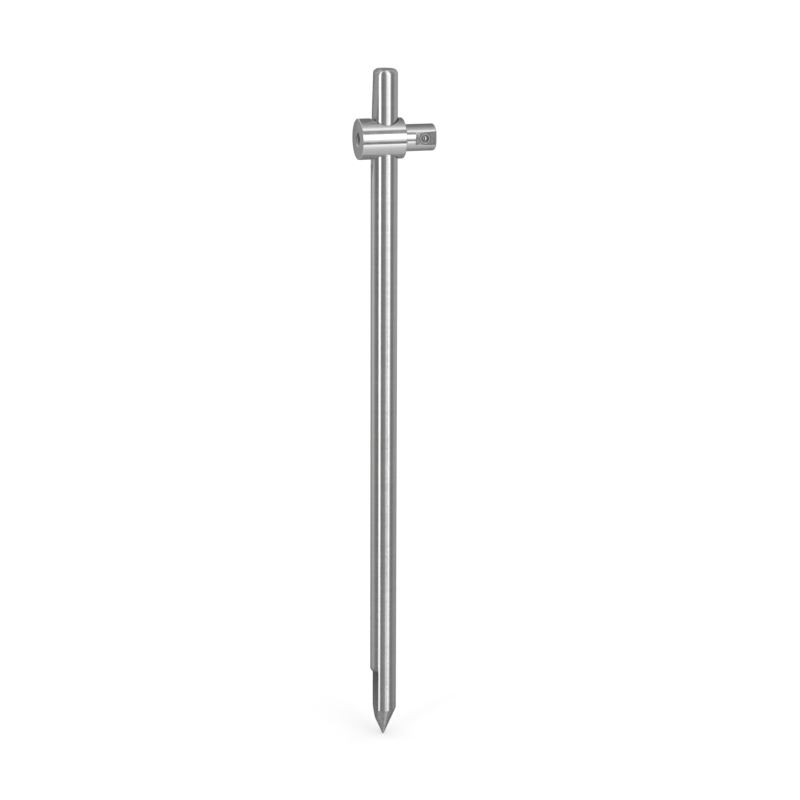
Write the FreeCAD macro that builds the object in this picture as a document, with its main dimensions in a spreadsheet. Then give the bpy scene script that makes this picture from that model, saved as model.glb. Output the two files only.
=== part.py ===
import FreeCAD, Part
import os
import Sketcher

# A pointed ground bar with a round cross head clamped on it near the top.
#
# The bar is straight round stock, turned to a point. It has a flat on one side of the point and a
# long shallow ramp flat at its top end, both facing -X. The cross head is a turned piece, bored
# across so that it slides on the bar. A set screw in its plain end bears on the ramp flat. Its
# other end is a thinner round spigot with one flat, and a sprung ball detent in that flat.
#
# Frame, in millimetres: the origin is the end of the point, +Z runs up the bar, +X runs along the
# cross head to the free end of the spigot, and the spigot's flat faces -Y. At rest the set screw
# is slackened, so that its tip just clears the bar.

# The driving dimensions: spreadsheet alias, value in millimetres or degrees.
SIZES = [
    ("bar_diameter", 16.0),
    ("bar_length", 413.0),
    ("point_half_angle", 23.5),
    ("point_land", 0.8),
    ("bar_end_rounding", 3.0),
    ("tip_flat_depth", 3.07),
    ("tip_flat_length", 41.0),
    ("tip_flat_rake", 16.7),
    ("ramp_length", 67.0),
    ("ramp_depth", 3.0),
    ("ramp_end_break", 2.0),
    ("head_height", 372.0),
    ("head_diameter", 24.2),
    ("head_plain_reach", 16.2),
    ("head_shoulder_reach", 10.7),
    ("head_edge_break", 0.25),
    ("bore_clearance", 0.3),
    ("bore_edge_break", 0.4),
    ("spigot_diameter", 16.0),
    ("spigot_length", 19.4),
    ("spigot_end_chamfer", 0.5),
    ("spigot_flat_start", 6.4),
    ("spigot_flat_first_depth", 0.85),
    ("spigot_flat_last_depth", 1.25),
    ("detent_from_shoulder", 12.4),
    ("screw_hole_diameter", 8.0),
    ("screw_hole_countersink", 0.35),
    ("screw_clearance", 0.05),
    ("screw_length", 7.0),
    ("screw_end_break", 0.6),
    ("screw_tip_gap", 0.2),
    ("screw_cup_diameter", 5.0),
    ("screw_cup_depth", 0.8),
    ("socket_across_flats", 4.0),
    ("socket_depth", 3.6),
    ("socket_countersink", 0.3),
    ("sleeve_diameter", 6.0),
    ("sleeve_length", 8.0),
    ("sleeve_cavity_diameter", 5.1),
    ("sleeve_floor", 0.8),
    ("sleeve_lip_diameter", 4.4),
    ("sleeve_lip_thickness", 0.3),
    ("collar_diameter", 6.5),
    ("collar_thickness", 0.5),
    ("ball_diameter", 5.0),
    ("ball_protrusion", 0.9),
    ("spring_coil_diameter", 3.6),
    ("spring_wire_diameter", 0.45),
    ("spring_turns", 4.0),
    ("spring_gap", 0.03),
]

# Formulas that several sub-parts share.
SPIGOT_END = "(dim.head_shoulder_reach + dim.spigot_length)"
FLAT_START = "(dim.head_shoulder_reach + dim.spigot_flat_start)"
DETENT_X = "(dim.head_shoulder_reach + dim.detent_from_shoulder)"
FLAT_SLOPE = (
    "((dim.spigot_flat_last_depth - dim.spigot_flat_first_depth)"
    " / (dim.spigot_length - dim.spigot_flat_start))"
)
DETENT_FACE_Y = (
    "(dim.spigot_flat_first_depth - dim.spigot_diameter / 2"
    f" + {FLAT_SLOPE} * (dim.detent_from_shoulder - dim.spigot_flat_start))"
)

# How far a cutting outline runs past the solid that it cuts.
OVERRUN = 4.0

# How near an edge must lie to a cylinder to count as lying on it.
EDGE_TOLERANCE = 1e-3


def make_sheet(doc):
    """Put the driving dimensions in a spreadsheet, one alias a row."""
    sheet = doc.addObject("Spreadsheet::Sheet", "dim")
    for row, (alias, value) in enumerate(SIZES, start=1):
        sheet.set(f"A{row}", alias)
        sheet.set(f"B{row}", str(value))
        sheet.setAlias(f"B{row}", alias)
    doc.recompute()
    return sheet


def add_sketch(body, name, role):
    """Add an empty sketch on one of the body's own origin planes."""
    sketch = body.newObject("Sketcher::SketchObject", name)
    plane = next(item for item in body.Origin.OriginFeatures if item.Role == role)
    sketch.AttachmentSupport = [(plane, "")]
    sketch.MapMode = "FlatFace"
    return sketch


def place_point(sketch, geometry, position, x_formula, y_formula):
    """Tie one point of a sketch to a place given by two formulas."""
    for kind, formula in (("DistanceX", x_formula), ("DistanceY", y_formula)):
        value = float(sketch.evalExpression(formula))
        rule = Sketcher.Constraint(kind, -1, 1, geometry, position, value)
        index = sketch.addConstraint(rule)
        sketch.setExpression(f"Constraints[{index}]", formula)


def draw_outline(sketch, corners):
    """Draw a closed outline of straight lines through corners given as pairs of formulas."""
    places = []
    for x_formula, y_formula in corners:
        x_value = float(sketch.evalExpression(x_formula))
        y_value = float(sketch.evalExpression(y_formula))
        places.append(FreeCAD.Vector(x_value, y_value, 0))
    first = sketch.GeometryCount
    count = len(places)
    for index, start in enumerate(places):
        sketch.addGeometry(Part.LineSegment(start, places[(index + 1) % count]))
    for index, (x_formula, y_formula) in enumerate(corners):
        following = first + (index + 1) % count
        sketch.addConstraint(Sketcher.Constraint("Coincident", first + index, 2, following, 1))
        place_point(sketch, first + index, 1, x_formula, y_formula)


def draw_circle(sketch, x_formula, y_formula, radius_formula):
    """Draw a circle whose centre and radius are formulas."""
    radius = float(sketch.evalExpression(radius_formula))
    circle = sketch.addGeometry(Part.Circle(FreeCAD.Vector(0, 0, 0), FreeCAD.Vector(0, 0, 1), radius))
    place_point(sketch, circle, 3, x_formula, y_formula)
    index = sketch.addConstraint(Sketcher.Constraint("Radius", circle, radius))
    sketch.setExpression(f"Constraints[{index}]", radius_formula)


def draw_axis(sketch, x_formula):
    """Draw a construction line along the sketch's own Y, for a revolved feature to turn about."""
    x_value = float(sketch.evalExpression(x_formula))
    start = FreeCAD.Vector(x_value, 0, 0)
    end = FreeCAD.Vector(x_value, OVERRUN, 0)
    line = sketch.addGeometry(Part.LineSegment(start, end), True)
    place_point(sketch, line, 1, x_formula, "0")
    place_point(sketch, line, 2, x_formula, str(OVERRUN))


def revolve(body, kind, name, sketch, axis):
    """Add a full Revolution or Groove of a sketch about one of its axes."""
    feature = body.newObject(f"PartDesign::{kind}", name)
    feature.Profile = sketch
    feature.ReferenceAxis = (sketch, [axis])
    feature.Angle = 360
    return feature


def cut_through(body, name, sketch):
    """Cut a sketch right through the body, both ways from the sketch's plane."""
    pocket = body.newObject("PartDesign::Pocket", name)
    pocket.Profile = sketch
    pocket.SideType = "Symmetric"
    pocket.Type = "Length"
    pocket.setExpression("Length", f"2 * (dim.head_diameter + {OVERRUN})")
    return pocket


def upright_cylinder_edges(shape, radius, lowest):
    """Name the curved edges, none of them below lowest, on a cylinder about the Z axis."""
    names = []
    for index, edge in enumerate(shape.Edges, start=1):
        if isinstance(edge.Curve, Part.Line) or edge.BoundBox.ZMin < lowest - EDGE_TOLERANCE:
            continue
        reaches = [FreeCAD.Vector(point.x, point.y, 0).Length for point in edge.discretize(9)]
        if all(abs(reach - radius) < EDGE_TOLERANCE for reach in reaches):
            names.append(f"Edge{index}")
    return names


def make_bar(doc):
    """The pointed round bar, with its tip flat and its ramp flat."""
    body = doc.addObject("PartDesign::Body", "bar")
    body.Label = "bar"

    profile = add_sketch(body, "turned_profile", "XZ_Plane")
    cone_length = (
        "(dim.bar_diameter - dim.point_land) / 2 / tan(dim.point_half_angle * 1 deg)"
    )
    draw_outline(
        profile,
        [
            ("0", "0"),
            ("dim.point_land / 2", "0"),
            ("dim.bar_diameter / 2", cone_length),
            ("dim.bar_diameter / 2", "dim.bar_length"),
            ("0", "dim.bar_length"),
        ],
    )
    turned_bar = revolve(body, "Revolution", "turned_bar", profile, "V_Axis")
    doc.recompute()

    rounding = body.newObject("PartDesign::Fillet", "end_rounding")
    bar_radius = float(profile.evalExpression("dim.bar_diameter / 2"))
    bar_end = float(profile.evalExpression("dim.bar_length"))
    rounding.Base = (turned_bar, upright_cylinder_edges(turned_bar.Shape, bar_radius, bar_end))
    rounding.setExpression("Radius", "dim.bar_end_rounding")

    # The tip flat ends in a shoulder that rises at 45 degrees and is raked across the bar.
    tip = add_sketch(body, "tip_flat_outline", "XZ_Plane")
    flat_x = "dim.tip_flat_depth - dim.bar_diameter / 2"
    outside_x = f"-dim.bar_diameter / 2 - {OVERRUN}"
    draw_outline(
        tip,
        [
            (outside_x, f"-{OVERRUN}"),
            (flat_x, f"-{OVERRUN}"),
            (flat_x, "dim.tip_flat_length"),
            (outside_x, f"dim.tip_flat_length + dim.tip_flat_depth + {OVERRUN}"),
        ],
    )
    tip_flat = cut_through(body, "tip_flat", tip)
    tip_flat.UseCustomVector = True
    tip_flat.Direction = FreeCAD.Vector(0, -1, 0)
    tip_flat.setExpression("Direction.z", "tan(dim.tip_flat_rake * 1 deg)")

    # The ramp flat leaves the bar's surface at its lower end and is deepest at the bar's end,
    # where its edge is broken at 45 degrees.
    ramp = add_sketch(body, "ramp_outline", "XZ_Plane")
    slope = "dim.ramp_depth / dim.ramp_length"
    flat_end_x = f"(dim.ramp_depth - dim.bar_diameter / 2 - dim.ramp_end_break * {slope})"
    draw_outline(
        ramp,
        [
            (
                f"-dim.bar_diameter / 2 - {OVERRUN} * {slope}",
                f"dim.bar_length - dim.ramp_length - {OVERRUN}",
            ),
            (flat_end_x, "dim.bar_length - dim.ramp_end_break"),
            (f"{flat_end_x} + dim.ramp_end_break + {OVERRUN}", f"dim.bar_length + {OVERRUN}"),
            (outside_x, f"dim.bar_length + {OVERRUN}"),
            (outside_x, f"dim.bar_length - dim.ramp_length - {OVERRUN}"),
        ],
    )
    cut_through(body, "ramp_flat", ramp)
    return body


def make_cross_head(doc):
    """The cross head: a turned body with a spigot, bored across for the bar."""
    body = doc.addObject("PartDesign::Body", "cross_head")
    body.Label = "cross_head"
    body.setExpression("Placement.Base.z", "dim.head_height")

    # The profile is drawn on the spigot flat's side, so that the flat cuts the spigot's seam away.
    profile = add_sketch(body, "turned_profile", "XY_Plane")
    draw_outline(
        profile,
        [
            ("-dim.head_plain_reach", "0"),
            ("-dim.head_plain_reach", "dim.head_edge_break - dim.head_diameter / 2"),
            ("dim.head_edge_break - dim.head_plain_reach", "-dim.head_diameter / 2"),
            ("dim.head_shoulder_reach - dim.head_edge_break", "-dim.head_diameter / 2"),
            ("dim.head_shoulder_reach", "dim.head_edge_break - dim.head_diameter / 2"),
            ("dim.head_shoulder_reach", "-dim.spigot_diameter / 2"),
            (f"{SPIGOT_END} - dim.spigot_end_chamfer", "-dim.spigot_diameter / 2"),
            (SPIGOT_END, "dim.spigot_end_chamfer - dim.spigot_diameter / 2"),
            (SPIGOT_END, "0"),
        ],
    )
    revolve(body, "Revolution", "turned_head", profile, "H_Axis")

    bore = add_sketch(body, "cross_bore_outline", "XY_Plane")
    draw_circle(bore, "0", "0", "dim.bar_diameter / 2 + dim.bore_clearance")
    cross_bore = cut_through(body, "cross_bore", bore)
    doc.recompute()

    mouths = body.newObject("PartDesign::Chamfer", "bore_edge_break")
    bore_radius = float(bore.evalExpression("dim.bar_diameter / 2 + dim.bore_clearance"))
    head_bottom = cross_bore.Shape.BoundBox.ZMin
    mouths.Base = (cross_bore, upright_cylinder_edges(cross_bore.Shape, bore_radius, head_bottom))
    mouths.setExpression("Size", "dim.bore_edge_break")

    # The set screw's hole runs in from the plain end to the bore, with a countersunk mouth.
    screw_hole = add_sketch(body, "screw_hole_outline", "XZ_Plane")
    hole_radius = "dim.screw_hole_diameter / 2"
    draw_outline(
        screw_hole,
        [
            ("-dim.head_plain_reach", "0"),
            ("-dim.head_plain_reach", f"{hole_radius} + dim.screw_hole_countersink"),
            ("dim.screw_hole_countersink - dim.head_plain_reach", hole_radius),
            ("0", hole_radius),
            ("0", "0"),
        ],
    )
    revolve(body, "Groove", "screw_hole", screw_hole, "H_Axis")

    # The spigot's flat starts at a square step and deepens a little towards the free end.
    flat = add_sketch(body, "spigot_flat_outline", "XY_Plane")
    outside_y = f"-dim.spigot_diameter / 2 - {OVERRUN}"
    draw_outline(
        flat,
        [
            (FLAT_START, outside_y),
            (FLAT_START, "dim.spigot_flat_first_depth - dim.spigot_diameter / 2"),
            (
                f"{SPIGOT_END} + {OVERRUN}",
                f"dim.spigot_flat_last_depth - dim.spigot_diameter / 2 + {OVERRUN} * {FLAT_SLOPE}",
            ),
            (f"{SPIGOT_END} + {OVERRUN}", outside_y),
        ],
    )
    cut_through(body, "spigot_flat", flat)

    # The detent's hole is stepped: a shallow seat for the collar over the sleeve's hole.
    hole = add_sketch(body, "detent_hole_outline", "XY_Plane")
    draw_axis(hole, DETENT_X)
    draw_outline(
        hole,
        [
            (DETENT_X, outside_y),
            (f"{DETENT_X} + dim.collar_diameter / 2", outside_y),
            (f"{DETENT_X} + dim.collar_diameter / 2", f"{DETENT_FACE_Y} + dim.collar_thickness"),
            (f"{DETENT_X} + dim.sleeve_diameter / 2", f"{DETENT_FACE_Y} + dim.collar_thickness"),
            (f"{DETENT_X} + dim.sleeve_diameter / 2", f"{DETENT_FACE_Y} + dim.sleeve_length"),
            (DETENT_X, f"{DETENT_FACE_Y} + dim.sleeve_length"),
        ],
    )
    revolve(body, "Groove", "detent_hole", hole, "Axis0")
    return body


def make_clamp_screw(doc):
    """The hexagon-socket set screw, drawn along X with its tip at the body's own origin."""
    body = doc.addObject("PartDesign::Body", "clamp_screw")
    body.Label = "clamp_screw"
    body.setExpression("Placement.Base.x", "-dim.bar_diameter / 2 - dim.screw_tip_gap")
    body.setExpression("Placement.Base.z", "dim.head_height")

    radius = "(dim.screw_hole_diameter / 2 - dim.screw_clearance)"
    profile = add_sketch(body, "turned_profile", "XZ_Plane")
    draw_outline(
        profile,
        [
            ("-dim.screw_cup_depth", "0"),
            ("0", "dim.screw_cup_diameter / 2"),
            ("0", f"{radius} - dim.screw_end_break"),
            ("-dim.screw_end_break", radius),
            ("dim.screw_end_break - dim.screw_length", radius),
            ("-dim.screw_length", f"{radius} - dim.screw_end_break"),
            ("-dim.screw_length", "0"),
        ],
    )
    revolve(body, "Revolution", "turned_screw", profile, "H_Axis")

    # The hexagon has two corners level with the axis in Y, so that flats face up and down.
    corner_reach = "dim.socket_across_flats / sqrt(3)"
    hexagon = add_sketch(body, "socket_outline", "YZ_Plane")
    draw_outline(
        hexagon,
        [
            (f"{corner_reach} * cos({angle} deg)", f"{corner_reach} * sin({angle} deg)")
            for angle in range(0, 360, 60)
        ],
    )
    hexagon.setExpression("AttachmentOffset.Base.z", "-dim.screw_length")
    socket = body.newObject("PartDesign::Pocket", "socket")
    socket.Profile = hexagon
    socket.Type = "Length"
    socket.Reversed = True
    socket.setExpression("Length", "dim.socket_depth")

    # A countersink opens the socket's mouth out to the hexagon's corners.
    countersink = add_sketch(body, "countersink_outline", "XZ_Plane")
    draw_outline(
        countersink,
        [
            ("-dim.screw_length", "0"),
            ("-dim.screw_length", f"{corner_reach} + dim.socket_countersink / 2"),
            (f"-dim.screw_length + {corner_reach} + dim.socket_countersink / 2", "0"),
        ],
    )
    revolve(body, "Groove", "socket_mouth", countersink, "H_Axis")
    return body


def detent_placement(item, depth_formula):
    """Put an item drawn along Z in the spigot's flat, its +Z facing out through the flat (-Y)."""
    item.Placement = FreeCAD.Placement(
        FreeCAD.Vector(0, 0, 0), FreeCAD.Rotation(FreeCAD.Vector(1, 0, 0), 90)
    )
    item.setExpression("Placement.Base.x", DETENT_X)
    item.setExpression("Placement.Base.y", f"{DETENT_FACE_Y} + {depth_formula}")
    item.setExpression("Placement.Base.z", "dim.head_height")


def make_detent_sleeve(doc):
    """The pressed-in sleeve: a cup with a collar outside and a lip over the ball."""
    body = doc.addObject("PartDesign::Body", "detent_sleeve")
    body.Label = "detent_sleeve"
    detent_placement(body, "0")
    profile = add_sketch(body, "turned_profile", "XZ_Plane")
    draw_outline(
        profile,
        [
            ("dim.sleeve_lip_diameter / 2", "0"),
            ("dim.collar_diameter / 2", "0"),
            ("dim.collar_diameter / 2", "-dim.collar_thickness"),
            ("dim.sleeve_diameter / 2", "-dim.collar_thickness"),
            ("dim.sleeve_diameter / 2", "-dim.sleeve_length"),
            ("0", "-dim.sleeve_length"),
            ("0", "dim.sleeve_floor - dim.sleeve_length"),
            ("dim.sleeve_cavity_diameter / 2", "dim.sleeve_floor - dim.sleeve_length"),
            ("dim.sleeve_cavity_diameter / 2", "-dim.sleeve_lip_thickness"),
            ("dim.sleeve_lip_diameter / 2", "-dim.sleeve_lip_thickness"),
        ],
    )
    revolve(body, "Revolution", "turned_sleeve", profile, "V_Axis")
    return body


def make_detent_ball(doc):
    """The ball, standing a little proud of the spigot's flat."""
    ball = doc.addObject("Part::Sphere", "detent_ball")
    ball.Label = "detent_ball"
    ball.setExpression("Radius", "dim.ball_diameter / 2")
    detent_placement(ball, "dim.ball_diameter / 2 - dim.ball_protrusion")
    return ball


def make_detent_spring(doc):
    """The coil spring, from the sleeve's floor to the back of the ball."""
    body = doc.addObject("PartDesign::Body", "detent_spring")
    body.Label = "detent_spring"
    wire_radius = "dim.spring_wire_diameter / 2"
    foot = f"(dim.sleeve_floor + {wire_radius} + dim.spring_gap - dim.sleeve_length)"
    touch_reach = f"(dim.ball_diameter / 2 + {wire_radius} + dim.spring_gap)"
    ball_centre = "(dim.ball_protrusion - dim.ball_diameter / 2)"
    top = (
        f"({ball_centre} - sqrt({touch_reach} * {touch_reach}"
        " - dim.spring_coil_diameter * dim.spring_coil_diameter / 4))"
    )
    detent_placement(body, "0")
    section = add_sketch(body, "wire_section", "XZ_Plane")
    draw_circle(section, "dim.spring_coil_diameter / 2", foot, wire_radius)
    coil = body.newObject("PartDesign::AdditiveHelix", "coil")
    coil.Profile = section
    coil.ReferenceAxis = (section, ["V_Axis"])
    coil.Mode = "height-turns-angle"
    coil.setExpression("Height", f"{top} - {foot}")
    coil.setExpression("Turns", "dim.spring_turns")
    return body


def check(doc, nodes):
    """Stop if any object failed to build or any sub-part isn't one valid solid."""
    for item in doc.Objects:
        if "Invalid" in item.State or "Error" in item.State:
            raise RuntimeError(f"{item.Label} failed to build: {item.State}")
    for node in nodes:
        shape = node.Shape
        if shape.isNull() or not shape.isValid() or len(shape.Solids) != 1:
            raise RuntimeError(f"{node.Label} isn't one valid solid")
        box = shape.BoundBox
        print(
            f"{node.Label}: {shape.Volume:.1f} mm3,"
            f" X {box.XMin:.2f} to {box.XMax:.2f},"
            f" Y {box.YMin:.2f} to {box.YMax:.2f},"
            f" Z {box.ZMin:.2f} to {box.ZMax:.2f}"
        )


def main():
    doc = FreeCAD.newDocument("ground_bar")
    make_sheet(doc)
    nodes = [
        make_bar(doc),
        make_cross_head(doc),
        make_clamp_screw(doc),
        make_detent_sleeve(doc),
        make_detent_spring(doc),
        make_detent_ball(doc),
    ]
    doc.recompute()
    check(doc, nodes)
    os.makedirs("parts", exist_ok=True)
    for node in nodes:
        node.Shape.exportStep(f"parts/{node.Label}.step")


main()
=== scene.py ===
import math

import bmesh
import bpy
from mathutils import Matrix, Vector


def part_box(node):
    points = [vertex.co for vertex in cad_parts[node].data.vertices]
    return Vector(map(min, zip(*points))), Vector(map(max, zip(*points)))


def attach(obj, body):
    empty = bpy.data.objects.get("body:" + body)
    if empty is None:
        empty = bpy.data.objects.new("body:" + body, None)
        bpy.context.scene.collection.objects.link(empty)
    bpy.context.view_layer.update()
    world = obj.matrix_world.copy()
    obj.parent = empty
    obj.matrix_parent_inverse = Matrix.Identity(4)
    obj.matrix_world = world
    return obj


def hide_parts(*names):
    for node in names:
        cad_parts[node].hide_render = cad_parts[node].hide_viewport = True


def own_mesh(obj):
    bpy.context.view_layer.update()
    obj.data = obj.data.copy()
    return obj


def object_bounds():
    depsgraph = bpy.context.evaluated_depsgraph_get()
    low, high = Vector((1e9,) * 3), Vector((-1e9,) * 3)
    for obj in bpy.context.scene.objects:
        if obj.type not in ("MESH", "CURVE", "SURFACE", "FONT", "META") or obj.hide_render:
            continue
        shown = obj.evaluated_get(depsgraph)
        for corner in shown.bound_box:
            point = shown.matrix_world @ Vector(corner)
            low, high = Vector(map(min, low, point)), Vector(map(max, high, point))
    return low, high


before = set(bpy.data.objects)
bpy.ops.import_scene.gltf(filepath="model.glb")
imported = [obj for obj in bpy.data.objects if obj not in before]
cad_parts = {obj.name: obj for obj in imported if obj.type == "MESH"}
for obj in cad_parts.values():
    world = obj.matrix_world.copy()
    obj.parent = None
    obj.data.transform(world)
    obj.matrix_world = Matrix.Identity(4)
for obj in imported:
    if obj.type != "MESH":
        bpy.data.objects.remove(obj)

# A pointed steel ground bar with a cross head clamped on it. Metres, the CAD's own frame: the
# point is at the origin, +Z runs up the bar, +X along the cross head to its spigot's free end,
# and the spigot's flat and ball detent face -Y.

CAD_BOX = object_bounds()
MM = 0.001

BAR_LOW, BAR_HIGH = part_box("bar")
HEAD_LOW, HEAD_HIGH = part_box("cross_head")
SCREW_LOW, SCREW_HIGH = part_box("clamp_screw")
SLEEVE_LOW, SLEEVE_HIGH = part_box("detent_sleeve")
BALL_LOW, BALL_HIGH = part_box("detent_ball")

BAR_RADIUS = (BAR_HIGH.y - BAR_LOW.y) / 2
BAR_LENGTH = BAR_HIGH.z
HEAD_RADIUS = (HEAD_HIGH.z - HEAD_LOW.z) / 2
HEAD_CENTRE = Vector((0.0, 0.0, (HEAD_HIGH.z + HEAD_LOW.z) / 2))
SCREW_RADIUS = (SCREW_HIGH.y - SCREW_LOW.y) / 2
DETENT_CENTRE = (BALL_LOW + BALL_HIGH) / 2
SPIGOT_RADIUS = BAR_RADIUS

# Sizes of the CAD's point and flats that no node's box gives.
POINT_LAND_RADIUS = 0.4 * MM
POINT_HALF_ANGLE = math.radians(23.5)
POINT_LENGTH = (BAR_RADIUS - POINT_LAND_RADIUS) / math.tan(POINT_HALF_ANGLE)
TIP_FLAT_DEPTH = 3.07 * MM
TIP_FLAT_END = 44.0 * MM
SPIGOT_FLAT_LENGTH = 13.0 * MM
SPIGOT_FLAT_DEPTH = 1.25 * MM
RAMP_LENGTH = 67.0 * MM
RAMP_SLOPE = 3.0 * MM / RAMP_LENGTH
SCREW_HOLE_RADIUS = SCREW_RADIUS + 0.05 * MM
SCREW_HOLE_COUNTERSINK = 0.35 * MM

# How softly edges are broken, and how near to a flat's plane counts as on it.
EDGE_BREAK = 0.22 * MM
FLAT_NEAR = 0.15 * MM
FLAT_SOFT = 0.05 * MM

# Tones: of the tip flat from the point up, the painted shading of the ramp flat from the back forward,
# of the cone, and the painted light and shade added on the head's plain end, also from the back forward.
TIP_TONES = (1.83, 0.79)
RAMP_PAINTED_SHADING = (1.25, 3.20)
CONE_TONE = 1.75
PLAIN_END_PAINTED_LIGHT = (0.22, 0.93)

# How much rougher a milled flat is, how high the turned rings stand, and how dark the painted shade
# of a joint line is.
MILLED_ROUGHER = 0.10
RING_HEIGHT = 0.01 * MM
JOINT_SHADE_DARK = 0.75

# The set screw: an M8 coarse thread, and a socket, a cup point and broken ends like the CAD's.
THREAD_PITCH = 1.25 * MM
THREAD_DEPTH = 0.61 * THREAD_PITCH
THREAD_ROW = 0.08 * MM
RING_STEPS = 72
SHARP_ANGLE = math.radians(28)
SOCKET_FLATS = 4.0 * MM
SOCKET_DEPTH = 3.4 * MM
SOCKET_COUNTERSINK = 0.3 * MM
SOCKET_FLOOR_STEP = 0.3 * MM
SOCKET_FLOOR_REACH = 0.35 * SOCKET_FLATS
SOCKET_DRILL_POINT = 0.5 * MM
SCREW_END_BREAK = 0.6 * MM
SCREW_CUP_RADIUS = 2.5 * MM
SCREW_CUP_DEPTH = 0.8 * MM

# The stretch of the hole's thread outside the screw: where it starts, how far it stays off the
# screw, and how far its roots go into the head.
HOLE_THREAD_START = 0.25 * MM
HOLE_THREAD_GAP = 0.03 * MM
HOLE_THREAD_SUNK = 0.06 * MM

# The detent's spring: its wire, and its turns with a closed one at each end.
SPRING_LOW, SPRING_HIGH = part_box("detent_spring")
SPRING_WIRE = 0.45 * MM
SPRING_TURNS = 5
SPRING_TURN_STEPS = 48
WIRE_STEPS = 12
CLOSED_TURN_RISE = SPRING_WIRE * 1.02

# The camera's view: degrees round from -Y and above the horizon, and where it looks.
CAMERA_AZIMUTH = -16.7
CAMERA_ELEVATION = 13.46
CAMERA_ROLL = 0.22
CAMERA_LENS = 107.15
CAMERA_DISTANCE = 3.487 * BAR_LENGTH
CAMERA_AIM = (CAD_BOX[0] + CAD_BOX[1]) / 2 + Vector((3.34 * MM, 0.0, 6.7 * MM))


# ---------------------------------------------------------------- node trees

class Nodes:
    """Adds nodes to one node tree, taking numbers or other nodes' outputs as inputs."""

    def __init__(self, tree):
        self.tree = tree
        self.tree.nodes.clear()

    def put(self, socket, value):
        """Set a socket to a number or colour, or link another node's output to it."""
        if isinstance(value, bpy.types.NodeSocket):
            self.tree.links.new(value, socket)
        else:
            socket.default_value = value

    def add(self, kind, inputs=None, **settings):
        """Add a node of this kind, with its settings and its inputs by name."""
        node = self.tree.nodes.new(f"ShaderNode{kind}")
        for name, value in settings.items():
            setattr(node, name, value)
        for name, value in (inputs or {}).items():
            self.put(node.inputs[name], value)
        return node

    def math(self, operation, *values):
        """The result of a Math node."""
        node = self.tree.nodes.new("ShaderNodeMath")
        node.operation = operation
        for index, value in enumerate(values):
            self.put(node.inputs[index], value)
        return node.outputs[0]

    def total(self, *values):
        """The sum of several values."""
        result = values[0]
        for value in values[1:]:
            result = self.math("ADD", result, value)
        return result

    def product(self, *values):
        """The product of several values."""
        result = values[0]
        for value in values[1:]:
            result = self.math("MULTIPLY", result, value)
        return result

    def ramp(self, value, start, end, low=0.0, high=1.0):
        """A smooth step from low to high, as value goes from start to end."""
        node = self.add("MapRange", {"Value": value}, interpolation_type="SMOOTHSTEP")
        for name, number in (("From Min", start), ("From Max", end), ("To Min", low), ("To Max", high)):
            node.inputs[name].default_value = number
        return node.outputs[0]

    def band(self, value, start, end, soft):
        """One between start and end, nought outside, with soft edges this wide."""
        rise = self.ramp(value, start - soft / 2, start + soft / 2)
        fall = self.ramp(value, end - soft / 2, end + soft / 2, 1.0, 0.0)
        return self.product(rise, fall)

    def mix(self, share, first, second):
        """First when share is nought, second when it is one."""
        node = self.add("Mix", {"Factor": share, "A": first, "B": second}, data_type="FLOAT")
        return node.outputs["Result"]

    def noise(self, vector=None, w=None, scale=1.0, detail=2.0, roughness=0.5):
        """The value of a noise texture, in one dimension when w is given."""
        if vector is None:
            node = self.add("TexNoise", {"W": w}, noise_dimensions="1D")
        else:
            node = self.add("TexNoise", {"Vector": vector}, noise_dimensions="3D")
        node.inputs["Scale"].default_value = scale
        node.inputs["Detail"].default_value = detail
        node.inputs["Roughness"].default_value = roughness
        return node.outputs["Fac"]


# ---------------------------------------------------------------- the studio

# What stands round the object, as light against angle in degrees. ROUND is for what the upright
# walls mirror: the angle runs round from the camera's own side, to its right when positive.
# FRONT is for what the cross head mirrors: the angle runs up from level, straight ahead of the
# spigot's flat, over the top when positive and underneath when negative.
ROUND = (
    (-180, 0.18), (-160, 0.23), (-146, 0.27), (-134, 0.28), (-118, 0.51), (-100, 0.62),
    (-88, 0.49), (-77, 0.25), (-60, 0.19), (-43, 0.19), (-39, 0.33), (-36.5, 2.20), (-30, 2.20),
    (-27, 0.35), (-20, 0.18), (-10, 0.20), (-3, 0.25), (6, 0.28), (14, 0.32), (19, 0.55),
    (24, 1.60), (46, 1.90), (53, 0.90), (58, 0.36), (66, 0.20), (80, 0.20), (92, 0.35),
    (105, 0.42), (142, 0.42), (155, 0.32), (165, 0.26), (180, 0.18),
)
FRONT = (
    (-180, 0.28), (-150, 0.26), (-130, 0.28), (-112, 0.36), (-97, 0.45), (-86, 0.66), (-62, 0.80),
    (-48, 0.96), (-36, 1.35), (-31, 1.75), (-25.5, 2.20), (-24, 0.0), (-15, 0.0), (-12.5, 0.45),
    (-6, 0.80), (-1, 1.15), (4, 1.80), (7, 3.00), (27.5, 3.00), (32, 0.30), (47, 0.27), (52, 0.45),
    (55, 1.20), (58, 1.75), (64, 1.75), (69, 1.15), (75, 0.82), (82, 0.70), (97, 0.46),
    (118, 0.31), (138, 0.22), (180, 0.25),
)
BRIGHTEST = 3.0

# The even grey low down beside the object, and the one underneath it.
FOOT_LIGHT = 0.24
UNDER_LIGHT = 0.46

# The panels right behind the object.
POST_LIGHT = 0.7
RAIL_LIGHT = 0.7

# Where the room changes. STRIP is how far to the right of straight ahead the level panels' strip
# begins and ends, as the sideways part of a direction. The rest are degrees: above level or below
# it, and for ASIDE round from the camera's side to either hand.
STRIP = (0.11, 0.40)
OVERHEAD = (68.0, 88.0)
DEEP = (-14.0, -23.0)
UNDERNEATH = (-38.0, -55.0)
ASIDE = (75.0, 95.0)
ASIDE_DIMMED = 0.4


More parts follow.
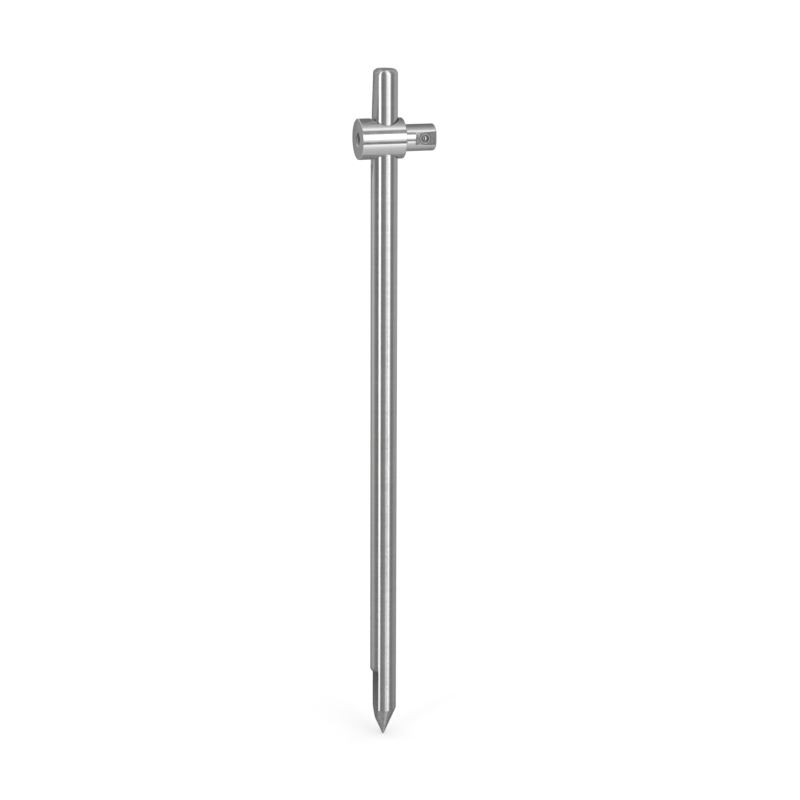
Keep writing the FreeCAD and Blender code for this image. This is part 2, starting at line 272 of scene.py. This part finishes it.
def profile(make, angle, stops):
    """Light against angle, straight between the stops."""
    share = make.math("MULTIPLY_ADD", angle, 1 / 360, 0.5)
    node = make.add("ValToRGB", {"Fac": share})
    points = node.color_ramp.elements
    while len(points) < len(stops):
        points.new(1.0)
    for point, (degrees, light) in zip(points, stops):
        point.position = degrees / 360 + 0.5
        point.color = (light / BRIGHTEST,) * 3 + (1.0,)
    return make.math("MULTIPLY", node.outputs["Color"], BRIGHTEST)


def studio_world():
    """A white backdrop for the camera, and a grey room with soft panels for reflections."""
    world = bpy.data.worlds.new("studio")
    bpy.context.scene.world = world
    world.use_nodes = True
    make = Nodes(world.node_tree)
    place = make.add("TexCoord").outputs["Generated"]
    ahead = make.add("SeparateXYZ", {"Vector": place})
    turned = make.add("VectorRotate", {"Vector": place}, rotation_type="Z_AXIS")
    turned.inputs["Angle"].default_value = math.radians(-CAMERA_AZIMUTH)
    parts = make.add("SeparateXYZ", {"Vector": turned.outputs["Vector"]})
    toward = make.math("MULTIPLY", parts.outputs["Y"], -1.0)
    azimuth = make.math("DEGREES", make.math("ARCTAN2", parts.outputs["X"], toward))
    height = make.math("DEGREES", make.math("ARCSINE", ahead.outputs["Z"]))
    outward = make.math("MULTIPLY", ahead.outputs["Y"], -1.0)
    climb = make.math("DEGREES", make.math("ARCTAN2", ahead.outputs["Z"], outward))

    # The level panels fill the strip of the room that the cross head mirrors to the camera, and
    # the upright ones fill the rest, but for what is right overhead and right underneath.
    strip = make.band(ahead.outputs["X"], *STRIP, 0.08)
    beside = make.ramp(height, *OVERHEAD, 1.0, 0.0)
    upright = make.product(beside, make.math("SUBTRACT", 1.0, strip))

    # The upright panels grow dimmer towards their feet, the ones at the sides most of all, and
    # below them there is only an even grey.
    deep = make.ramp(height, *DEEP)
    aside = make.math("ABSOLUTE", azimuth)
    sides = make.ramp(aside, *ASIDE)
    dimmed = make.math("MULTIPLY_ADD", make.product(deep, sides), -ASIDE_DIMMED, 1.0)
    panels = make.product(profile(make, azimuth, ROUND), dimmed)
    evened = make.mix(make.product(deep, 0.5), panels, FOOT_LIGHT)
    lowered = make.mix(make.ramp(height, *UNDERNEATH), evened, UNDER_LIGHT)

    # Right behind the object stand one upright and one level panel, for views from the back.
    post = make.product(make.ramp(aside, 171.0, 175.0), make.band(height, -35.0, -3.0, 6.0))
    rail = make.product(make.band(azimuth, -152.0, -126.0, 4.0), make.band(height, 14.0, 32.0, 6.0))
    behind = make.total(make.product(post, POST_LIGHT), make.product(rail, RAIL_LIGHT))
    around = make.total(lowered, behind)
    room = make.mix(upright, profile(make, climb, FRONT), around)
    background = make.add("Background", {"Color": (1, 1, 1, 1), "Strength": room})
    backdrop = make.add("Background", {"Color": (1, 1, 1, 1), "Strength": 1.0})
    choose = make.add(
        "MixShader",
        {
            0: make.add("LightPath").outputs["Is Camera Ray"],
            1: background.outputs[0],
            2: backdrop.outputs[0],
        },
    )
    make.add("OutputWorld", {"Surface": choose.outputs[0]})


def studio_light():
    """One very wide, soft lamp from above that lights the floor and isn't mirrored in the steel."""
    lamp = bpy.data.lights.new("overhead", "SUN")
    lamp.energy = 2.25
    lamp.angle = math.radians(100)
    lamp.use_shadow = False
    overhead = bpy.data.objects.new("overhead", lamp)
    overhead.rotation_euler = (math.radians(8), math.radians(6), 0)
    overhead.visible_glossy = False
    bpy.context.collection.objects.link(overhead)


def floor():
    """A plain pale floor under the point, left out of reflections so that the steel sees the panels."""
    half = 40 * BAR_LENGTH
    mesh = bpy.data.meshes.new("floor")
    corners = [(-half, -half, 0), (half, -half, 0), (half, half, 0), (-half, half, 0)]
    mesh.from_pydata(corners, [], [(0, 1, 2, 3)])
    plane = bpy.data.objects.new("floor", mesh)
    plane.location.z = -0.01 * MM
    plane.visible_glossy = False
    bpy.context.collection.objects.link(plane)
    material = bpy.data.materials.new("pale_floor")
    material.use_nodes = True
    make = Nodes(material.node_tree)
    shader = make.add("BsdfPrincipled", {"Base Color": (0.86, 0.86, 0.86, 1), "Roughness": 0.9})
    shader.inputs["Specular IOR Level"].default_value = 0.0
    make.add("OutputMaterial", {"Surface": shader.outputs[0]})
    mesh.materials.append(material)


def camera():
    """The camera at the photograph's viewing angle."""
    lens = bpy.data.cameras.new("camera")
    lens.lens = CAMERA_LENS
    lens.clip_start = 0.05
    lens.clip_end = 60
    eye = bpy.data.objects.new("camera", lens)
    bpy.context.collection.objects.link(eye)
    azimuth = math.radians(CAMERA_AZIMUTH)
    elevation = math.radians(CAMERA_ELEVATION)
    back = Vector(
        (
            math.sin(azimuth) * math.cos(elevation),
            -math.cos(azimuth) * math.cos(elevation),
            math.sin(elevation),
        )
    )
    eye.location = CAMERA_AIM + back * CAMERA_DISTANCE
    turn = (-back).to_track_quat("-Z", "Y").to_matrix().to_4x4()
    eye.rotation_euler = (turn @ Matrix.Rotation(math.radians(CAMERA_ROLL), 4, "Z")).to_euler()
    bpy.context.scene.camera = eye


# ---------------------------------------------------------------- threads

def thread_radius(x, turn, crest, root):
    """How far out a right-hand thread about X reaches, at x and this share of a turn."""
    flat = 1 / 16
    slope = 5 / 16
    phase = (x / THREAD_PITCH - turn) % 1.0
    from_crest = abs(phase - 0.5)
    share = min(max((from_crest - flat) / slope, 0.0), 1.0)
    return crest + (root - crest) * share


def hexagon_radius(turn):
    """How far the socket's hexagon reaches, at this share of a turn from one of its corners."""
    off_flat = (turn * 360) % 60 - 30
    return SOCKET_FLATS / 2 / math.cos(math.radians(off_flat))


def ring(mesh, x, radius_at):
    """One ring of vertices about the head's axis, where radius_at gives the reach at each angle."""
    points = []
    for step in range(RING_STEPS):
        turn = step / RING_STEPS
        radius = radius_at(turn)
        angle = turn * math.tau
        points.append(
            mesh.verts.new((x, radius * math.cos(angle), HEAD_CENTRE.z + radius * math.sin(angle)))
        )
    return points


def join_rings(mesh, rings, closed=False):
    """Skin from each ring to the next, and from the last to the first when closed."""
    pairs = list(zip(rings, rings[1:]))
    if closed:
        pairs.append((rings[-1], rings[0]))
    for near, far in pairs:
        for step in range(len(near)):
            following = (step + 1) % len(near)
            mesh.faces.new((near[step], near[following], far[following], far[step]))


def close_ring(mesh, points, x):
    """Close a ring with a fan to a point on the axis."""
    middle = mesh.verts.new((x, 0.0, HEAD_CENTRE.z))
    for step in range(RING_STEPS):
        mesh.faces.new((points[step], points[(step + 1) % RING_STEPS], middle))


def finish_piece(name, mesh, material, body):
    """Turn a finished bmesh into a piece that rides on a body."""
    bmesh.ops.recalc_face_normals(mesh, faces=mesh.faces)
    data = bpy.data.meshes.new(name)
    mesh.to_mesh(data)
    mesh.free()
    data.shade_smooth()
    data.set_sharp_from_angle(angle=SHARP_ANGLE)
    data.materials.append(material)
    piece = bpy.data.objects.new(name, data)
    bpy.context.collection.objects.link(piece)
    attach(piece, body)
    return piece


def threaded_screw(material):
    """The set screw with its thread, hexagon socket and cup point, in place of the CAD's plain one."""
    near, far = SCREW_LOW.x, SCREW_HIGH.x
    end = SCREW_RADIUS - SCREW_END_BREAK
    corner = SOCKET_FLATS / 2 / math.cos(math.radians(30))
    mouth = corner + SOCKET_COUNTERSINK / 2
    deepest = near + SOCKET_DEPTH

    def wall(x):
        """The thread at x, cut down to the cones at the screw's ends."""
        limit = min(SCREW_RADIUS, end + (x - near), end + (far - x))
        root = SCREW_RADIUS - THREAD_DEPTH
        return lambda turn: min(thread_radius(x, turn, SCREW_RADIUS, root), limit)

    mesh = bmesh.new()
    rings = [
        ring(mesh, deepest, lambda turn: SOCKET_FLOOR_REACH),
        ring(mesh, deepest - SOCKET_FLOOR_STEP, hexagon_radius),
        ring(mesh, near + SOCKET_COUNTERSINK, hexagon_radius),
        ring(mesh, near, lambda turn: mouth),
    ]
    rows = round((far - near) / THREAD_ROW)
    rings += [
        ring(mesh, near + (far - near) * row / rows, wall(near + (far - near) * row / rows))
        for row in range(rows + 1)
    ]
    rings.append(ring(mesh, far, lambda turn: SCREW_CUP_RADIUS))
    join_rings(mesh, rings)
    close_ring(mesh, rings[0], deepest + SOCKET_DRILL_POINT)
    close_ring(mesh, rings[-1], far - SCREW_CUP_DEPTH)
    piece = finish_piece("set_screw", mesh, material, "screw")
    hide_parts("clamp_screw")


def hole_thread(material):
    """The stretch of the hole's thread that shows outside the screw, on the head's plain end."""
    buried = SCREW_HOLE_RADIUS + HOLE_THREAD_SUNK
    crest = SCREW_HOLE_RADIUS - THREAD_DEPTH
    near = HEAD_LOW.x + HOLE_THREAD_START
    far = SCREW_LOW.x - HOLE_THREAD_GAP
    rows = round((far - near) / THREAD_ROW)

    def wall(x):
        """The thread at x, opened out to the hole's countersink."""
        countersunk = HEAD_LOW.x + SCREW_HOLE_COUNTERSINK + SCREW_HOLE_RADIUS - x
        return lambda turn: max(thread_radius(x, turn, buried, crest), min(countersunk, buried))

    mesh = bmesh.new()
    rings = [ring(mesh, near, lambda turn: buried)]
    rings += [
        ring(mesh, near + (far - near) * row / rows, wall(near + (far - near) * row / rows))
        for row in range(rows + 1)
    ]
    rings.append(ring(mesh, far, lambda turn: buried))
    join_rings(mesh, rings, closed=True)
    finish_piece("hole_thread", mesh, material, "head")


# ---------------------------------------------------------------- the detent's spring

def spring_rise(turns):
    """How far up the spring its wire is after this many turns, the first and last ones closed."""
    full = SPRING_HIGH.y - SPRING_LOW.y - SPRING_WIRE
    open_turns = SPRING_TURNS - 2
    opened = min(max(turns - 1, 0), open_turns)
    open_rise = (full - 2 * CLOSED_TURN_RISE) / open_turns
    return (turns - opened) * CLOSED_TURN_RISE + opened * open_rise


def wire_section(mesh, turns):
    """The section of the spring's wire, after this many turns from the foot."""
    wire = SPRING_WIRE / 2
    coil = (SPRING_HIGH.x - SPRING_LOW.x) / 2 - wire
    angle = turns * math.tau
    points = []
    for corner in range(WIRE_STEPS):
        lean = corner / WIRE_STEPS * math.tau
        out = coil + wire * math.cos(lean)
        place = (
            DETENT_CENTRE.x + out * math.cos(angle),
            SPRING_HIGH.y - wire - spring_rise(turns) + wire * math.sin(lean),
            DETENT_CENTRE.z + out * math.sin(angle),
        )
        points.append(mesh.verts.new(place))
    return points


def coil_spring(material):
    """The detent's spring with closed ends."""
    mesh = bmesh.new()
    steps = SPRING_TURNS * SPRING_TURN_STEPS
    sections = [wire_section(mesh, step / SPRING_TURN_STEPS) for step in range(steps + 1)]
    join_rings(mesh, sections)
    mesh.faces.new(sections[0])
    mesh.faces.new(sections[-1])
    piece = finish_piece("coil_spring", mesh, material, "head")
    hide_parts("detent_spring")
    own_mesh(piece)


# ---------------------------------------------------------------- materials

def steel(name, axis, centre, colour, roughness, anisotropy, milled=None, joint_shades=(), face_painted_light=None):
    """Turned steel: fine rings round an axis, a gloss drawn out along it, and softly broken edges.

    milled makes a mask of a duller flat and its tone; each joint mask makes a dark line of painted
    shade where two parts meet, and the end's function gives painted light and shade across the plain end.
    """
    material = bpy.data.materials.new(name)
    material.use_nodes = True
    make = Nodes(material.node_tree)
    place = make.add("TexCoord").outputs["Object"]
    moved = make.add("VectorMath", {0: place, 1: tuple(-centre)}, operation="ADD").outputs[0]
    parts = make.add("SeparateXYZ", {"Vector": moved})
    names = {"X": ("X", "Y", "Z"), "Y": ("Y", "Z", "X"), "Z": ("Z", "X", "Y")}[axis]
    along, first, second = (parts.outputs[letter] for letter in names)
    square = make.total(make.product(first, first), make.product(second, second))
    reach = make.math("SQRT", square)
    rings = make.total(along, reach)

    fine = make.noise(w=rings, scale=2600.0, detail=2.0)
    coarse = make.noise(w=rings, scale=420.0, detail=2.0)
    cloud = make.noise(vector=moved, scale=70.0, detail=3.0)
    scuff = make.noise(vector=moved, scale=900.0, detail=2.0, roughness=0.6)

    shade = make.total(
        make.ramp(coarse, 0.3, 0.7, -0.012, 0.012),
        make.ramp(cloud, 0.3, 0.7, -0.02, 0.02),
        colour,
    )
    gloss = make.total(
        make.ramp(cloud, 0.3, 0.7, -0.015, 0.015),
        make.ramp(coarse, 0.3, 0.7, -0.01, 0.01),
        roughness,
    )
    if milled:
        mask, tone = milled(make, parts)
        dull = make.ramp(scuff, 0.3, 0.7, 0.32, 0.50)
        toned = make.math("SUBTRACT", make.product(dull, tone), 1.0)
        shade = make.product(shade, make.math("MULTIPLY_ADD", mask, toned, 1.0))
        gloss = make.math("MULTIPLY_ADD", mask, MILLED_ROUGHER, gloss)
    # Painted light and shade across the head's plain end.
    if face_painted_light:
        shade = make.product(shade, face_painted_light(make, parts))
    # Painted shade in the joints between parts.
    for line in joint_shades:
        lit = make.math("MULTIPLY_ADD", line(make, parts), -JOINT_SHADE_DARK, 1.0)
        shade = make.product(shade, lit)
    tint = make.add("CombineColor", {"Red": shade, "Green": shade, "Blue": shade})
    edge = make.add("Bevel", {"Radius": EDGE_BREAK}, samples=6)
    bump = make.add(
        "Bump",
        {"Height": fine, "Strength": 0.10, "Distance": RING_HEIGHT, "Normal": edge.outputs[0]},
    )
    tangent = make.add("Tangent", direction_type="RADIAL", axis=axis)
    shader = make.add(
        "BsdfPrincipled",
        {
            "Base Color": tint.outputs[0],
            "Metallic": 1.0,
            "Roughness": gloss,
            "Anisotropic": anisotropy,
            "Anisotropic Rotation": 0.25,
            "Normal": bump.outputs[0],
            "Tangent": tangent.outputs[0],
        },
    )
    make.add("OutputMaterial", {"Surface": shader.outputs[0]})
    return material


def bar_flats(make, parts):
    """One on the bar's two flats and the point's cone, and their tone, which on the ramp flat is painted
    shading.
    """
    across, depth, height = (parts.outputs[letter] for letter in "XYZ")

    # The flat beside the point, darker near its shoulder.
    flat = -BAR_RADIUS + TIP_FLAT_DEPTH
    level = make.band(across, flat - FLAT_NEAR, flat + FLAT_NEAR, FLAT_SOFT)
    low_down = make.ramp(height, TIP_FLAT_END - 2 * MM, TIP_FLAT_END + 2 * MM, 1.0, 0.0)
    tip = make.product(level, low_down)
    tip_tone = make.ramp(height, 10 * MM, 41 * MM, *TIP_TONES)

    # The ramp flat at the top. Its tone is painted shading, darker at its far edge and brighter
    # towards the side that the detent faces.
    start = BAR_LENGTH - RAMP_LENGTH
    surface = make.math("MULTIPLY_ADD", height, RAMP_SLOPE, -BAR_RADIUS - RAMP_SLOPE * start)
    above = make.math("SUBTRACT", across, surface)
    on_ramp = make.band(above, -FLAT_NEAR, FLAT_NEAR, FLAT_SOFT)
    ramp = make.product(on_ramp, make.ramp(height, start + 8 * MM, start + 12 * MM))
    ramp_painted_shading = make.ramp(depth, 6.5 * MM, -1 * MM, *RAMP_PAINTED_SHADING)

    cone = make.ramp(height, POINT_LENGTH + 0.1 * MM, POINT_LENGTH - 0.1 * MM)
    mask = make.math("MAXIMUM", make.math("MAXIMUM", tip, ramp), cone)
    return mask, make.mix(cone, make.mix(ramp, tip_tone, ramp_painted_shading), CONE_TONE)


def spigot_flat(make, parts):
    """One on the spigot's flat, and its tone, which is scuffed between the shoulder and the detent."""
    across, depth, height = (parts.outputs[letter] for letter in "XYZ")
    reach = make.math("SQRT", make.total(make.product(depth, depth), make.product(height, height)))
    inside = make.ramp(reach, SPIGOT_RADIUS - 0.10 * MM, SPIGOT_RADIUS - 0.02 * MM, 1.0, 0.0)
    deepest = -SPIGOT_RADIUS + SPIGOT_FLAT_DEPTH
    facing = make.ramp(depth, deepest + FLAT_NEAR, deepest + FLAT_NEAR - FLAT_SOFT)
    start = HEAD_HIGH.x - SPIGOT_FLAT_LENGTH
    along = make.band(across, start + 0.02 * MM, HEAD_HIGH.x - 0.02 * MM, 0.02 * MM)
    mask = make.product(inside, facing, along)

    place = make.add("TexCoord").outputs["Object"]
    blotches = make.noise(vector=place, scale=1100.0, detail=3.0, roughness=0.6)
    scuffs = make.ramp(blotches, 0.50, 0.60, 0.0, 1.1)
    left = make.ramp(across, DETENT_CENTRE.x + 1.0 * MM, DETENT_CENTRE.x - 1.5 * MM)
    return mask, make.math("MULTIPLY_ADD", make.product(left, scuffs), 1.0, 1.0)


def plain_end_painted_light(make, parts):
    """Painted light on the head's plain end, which brightens it, more towards the flat's side."""
    end = HEAD_LOW.x + 0.3 * MM
    rim = HEAD_RADIUS - 1.1 * MM
    on_end = make.ramp(parts.outputs["X"], end + 0.1 * MM, end)
    side = make.ramp(parts.outputs["Y"], rim, -rim, *PLAIN_END_PAINTED_LIGHT)
    return make.math("MULTIPLY_ADD", on_end, side, 1.0)


def detent_gap_shade(make, parts):
    """Painted shade: a dark line where the detent's collar meets the spigot."""
    across = make.math("SUBTRACT", parts.outputs["X"], DETENT_CENTRE.x)
    height = parts.outputs["Z"]
    reach = make.math("SQRT", make.total(make.product(across, across), make.product(height, height)))
    outer = (SLEEVE_HIGH.x - SLEEVE_LOW.x) / 2
    near = make.ramp(parts.outputs["Y"], -5.5 * MM, -6.0 * MM)
    return make.product(make.band(reach, outer - 0.1 * MM, outer + 0.25 * MM, 0.15 * MM), near)


def bore_gap_shade(make, parts):
    """Painted shade: a dark line round the mouths of the head's bore, where the bar goes in."""
    across, depth = parts.outputs["X"], parts.outputs["Y"]
    reach = make.math("SQRT", make.total(make.product(across, across), make.product(depth, depth)))
    return make.ramp(reach, BAR_RADIUS + 0.95 * MM, BAR_RADIUS + 0.25 * MM)


def paint(node, material):
    """Give a CAD node this material in all its slots."""
    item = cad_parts[node]
    if not item.material_slots:
        item.data.materials.append(material)
    for slot in item.material_slots:
        slot.material = material


def dress_pieces():
    """Give every CAD node that stays its detailed material, and make the pieces that Blender adds."""
    origin = Vector((0.0, 0.0, 0.0))
    bar = steel(
        "bar_turned_steel",
        "Z",
        origin,
        colour=0.78,
        roughness=0.245,
        anisotropy=0.8,
        milled=bar_flats,
    )
    head = steel(
        "head_turned_steel",
        "X",
        HEAD_CENTRE,
        colour=0.62,
        roughness=0.20,
        anisotropy=0.75,
        milled=spigot_flat,
        joint_shades=(detent_gap_shade, bore_gap_shade),
        face_painted_light=plain_end_painted_light,
    )
    # The screw gets a dark colour: painted shade of the recess it sits in.
    screw = steel("screw_steel", "X", HEAD_CENTRE, colour=0.32, roughness=0.28, anisotropy=0.3)
    sleeve = steel("sleeve_steel", "Y", DETENT_CENTRE, colour=0.36, roughness=0.25, anisotropy=0.3)
    spring = steel("spring_steel", "Y", DETENT_CENTRE, colour=0.5, roughness=0.25, anisotropy=0.0)
    ball = steel("ball_steel", "Y", DETENT_CENTRE, colour=0.45, roughness=0.22, anisotropy=0.0)
    paint("bar", bar)
    paint("cross_head", head)
    threaded_screw(screw)
    hole_thread(head)
    paint("detent_sleeve", sleeve)
    coil_spring(spring)
    paint("detent_ball", ball)


def main():
    bpy.context.scene.view_settings.view_transform = "Standard"
    studio_world()
    studio_light()
    floor()
    camera()
    dress_pieces()


main()
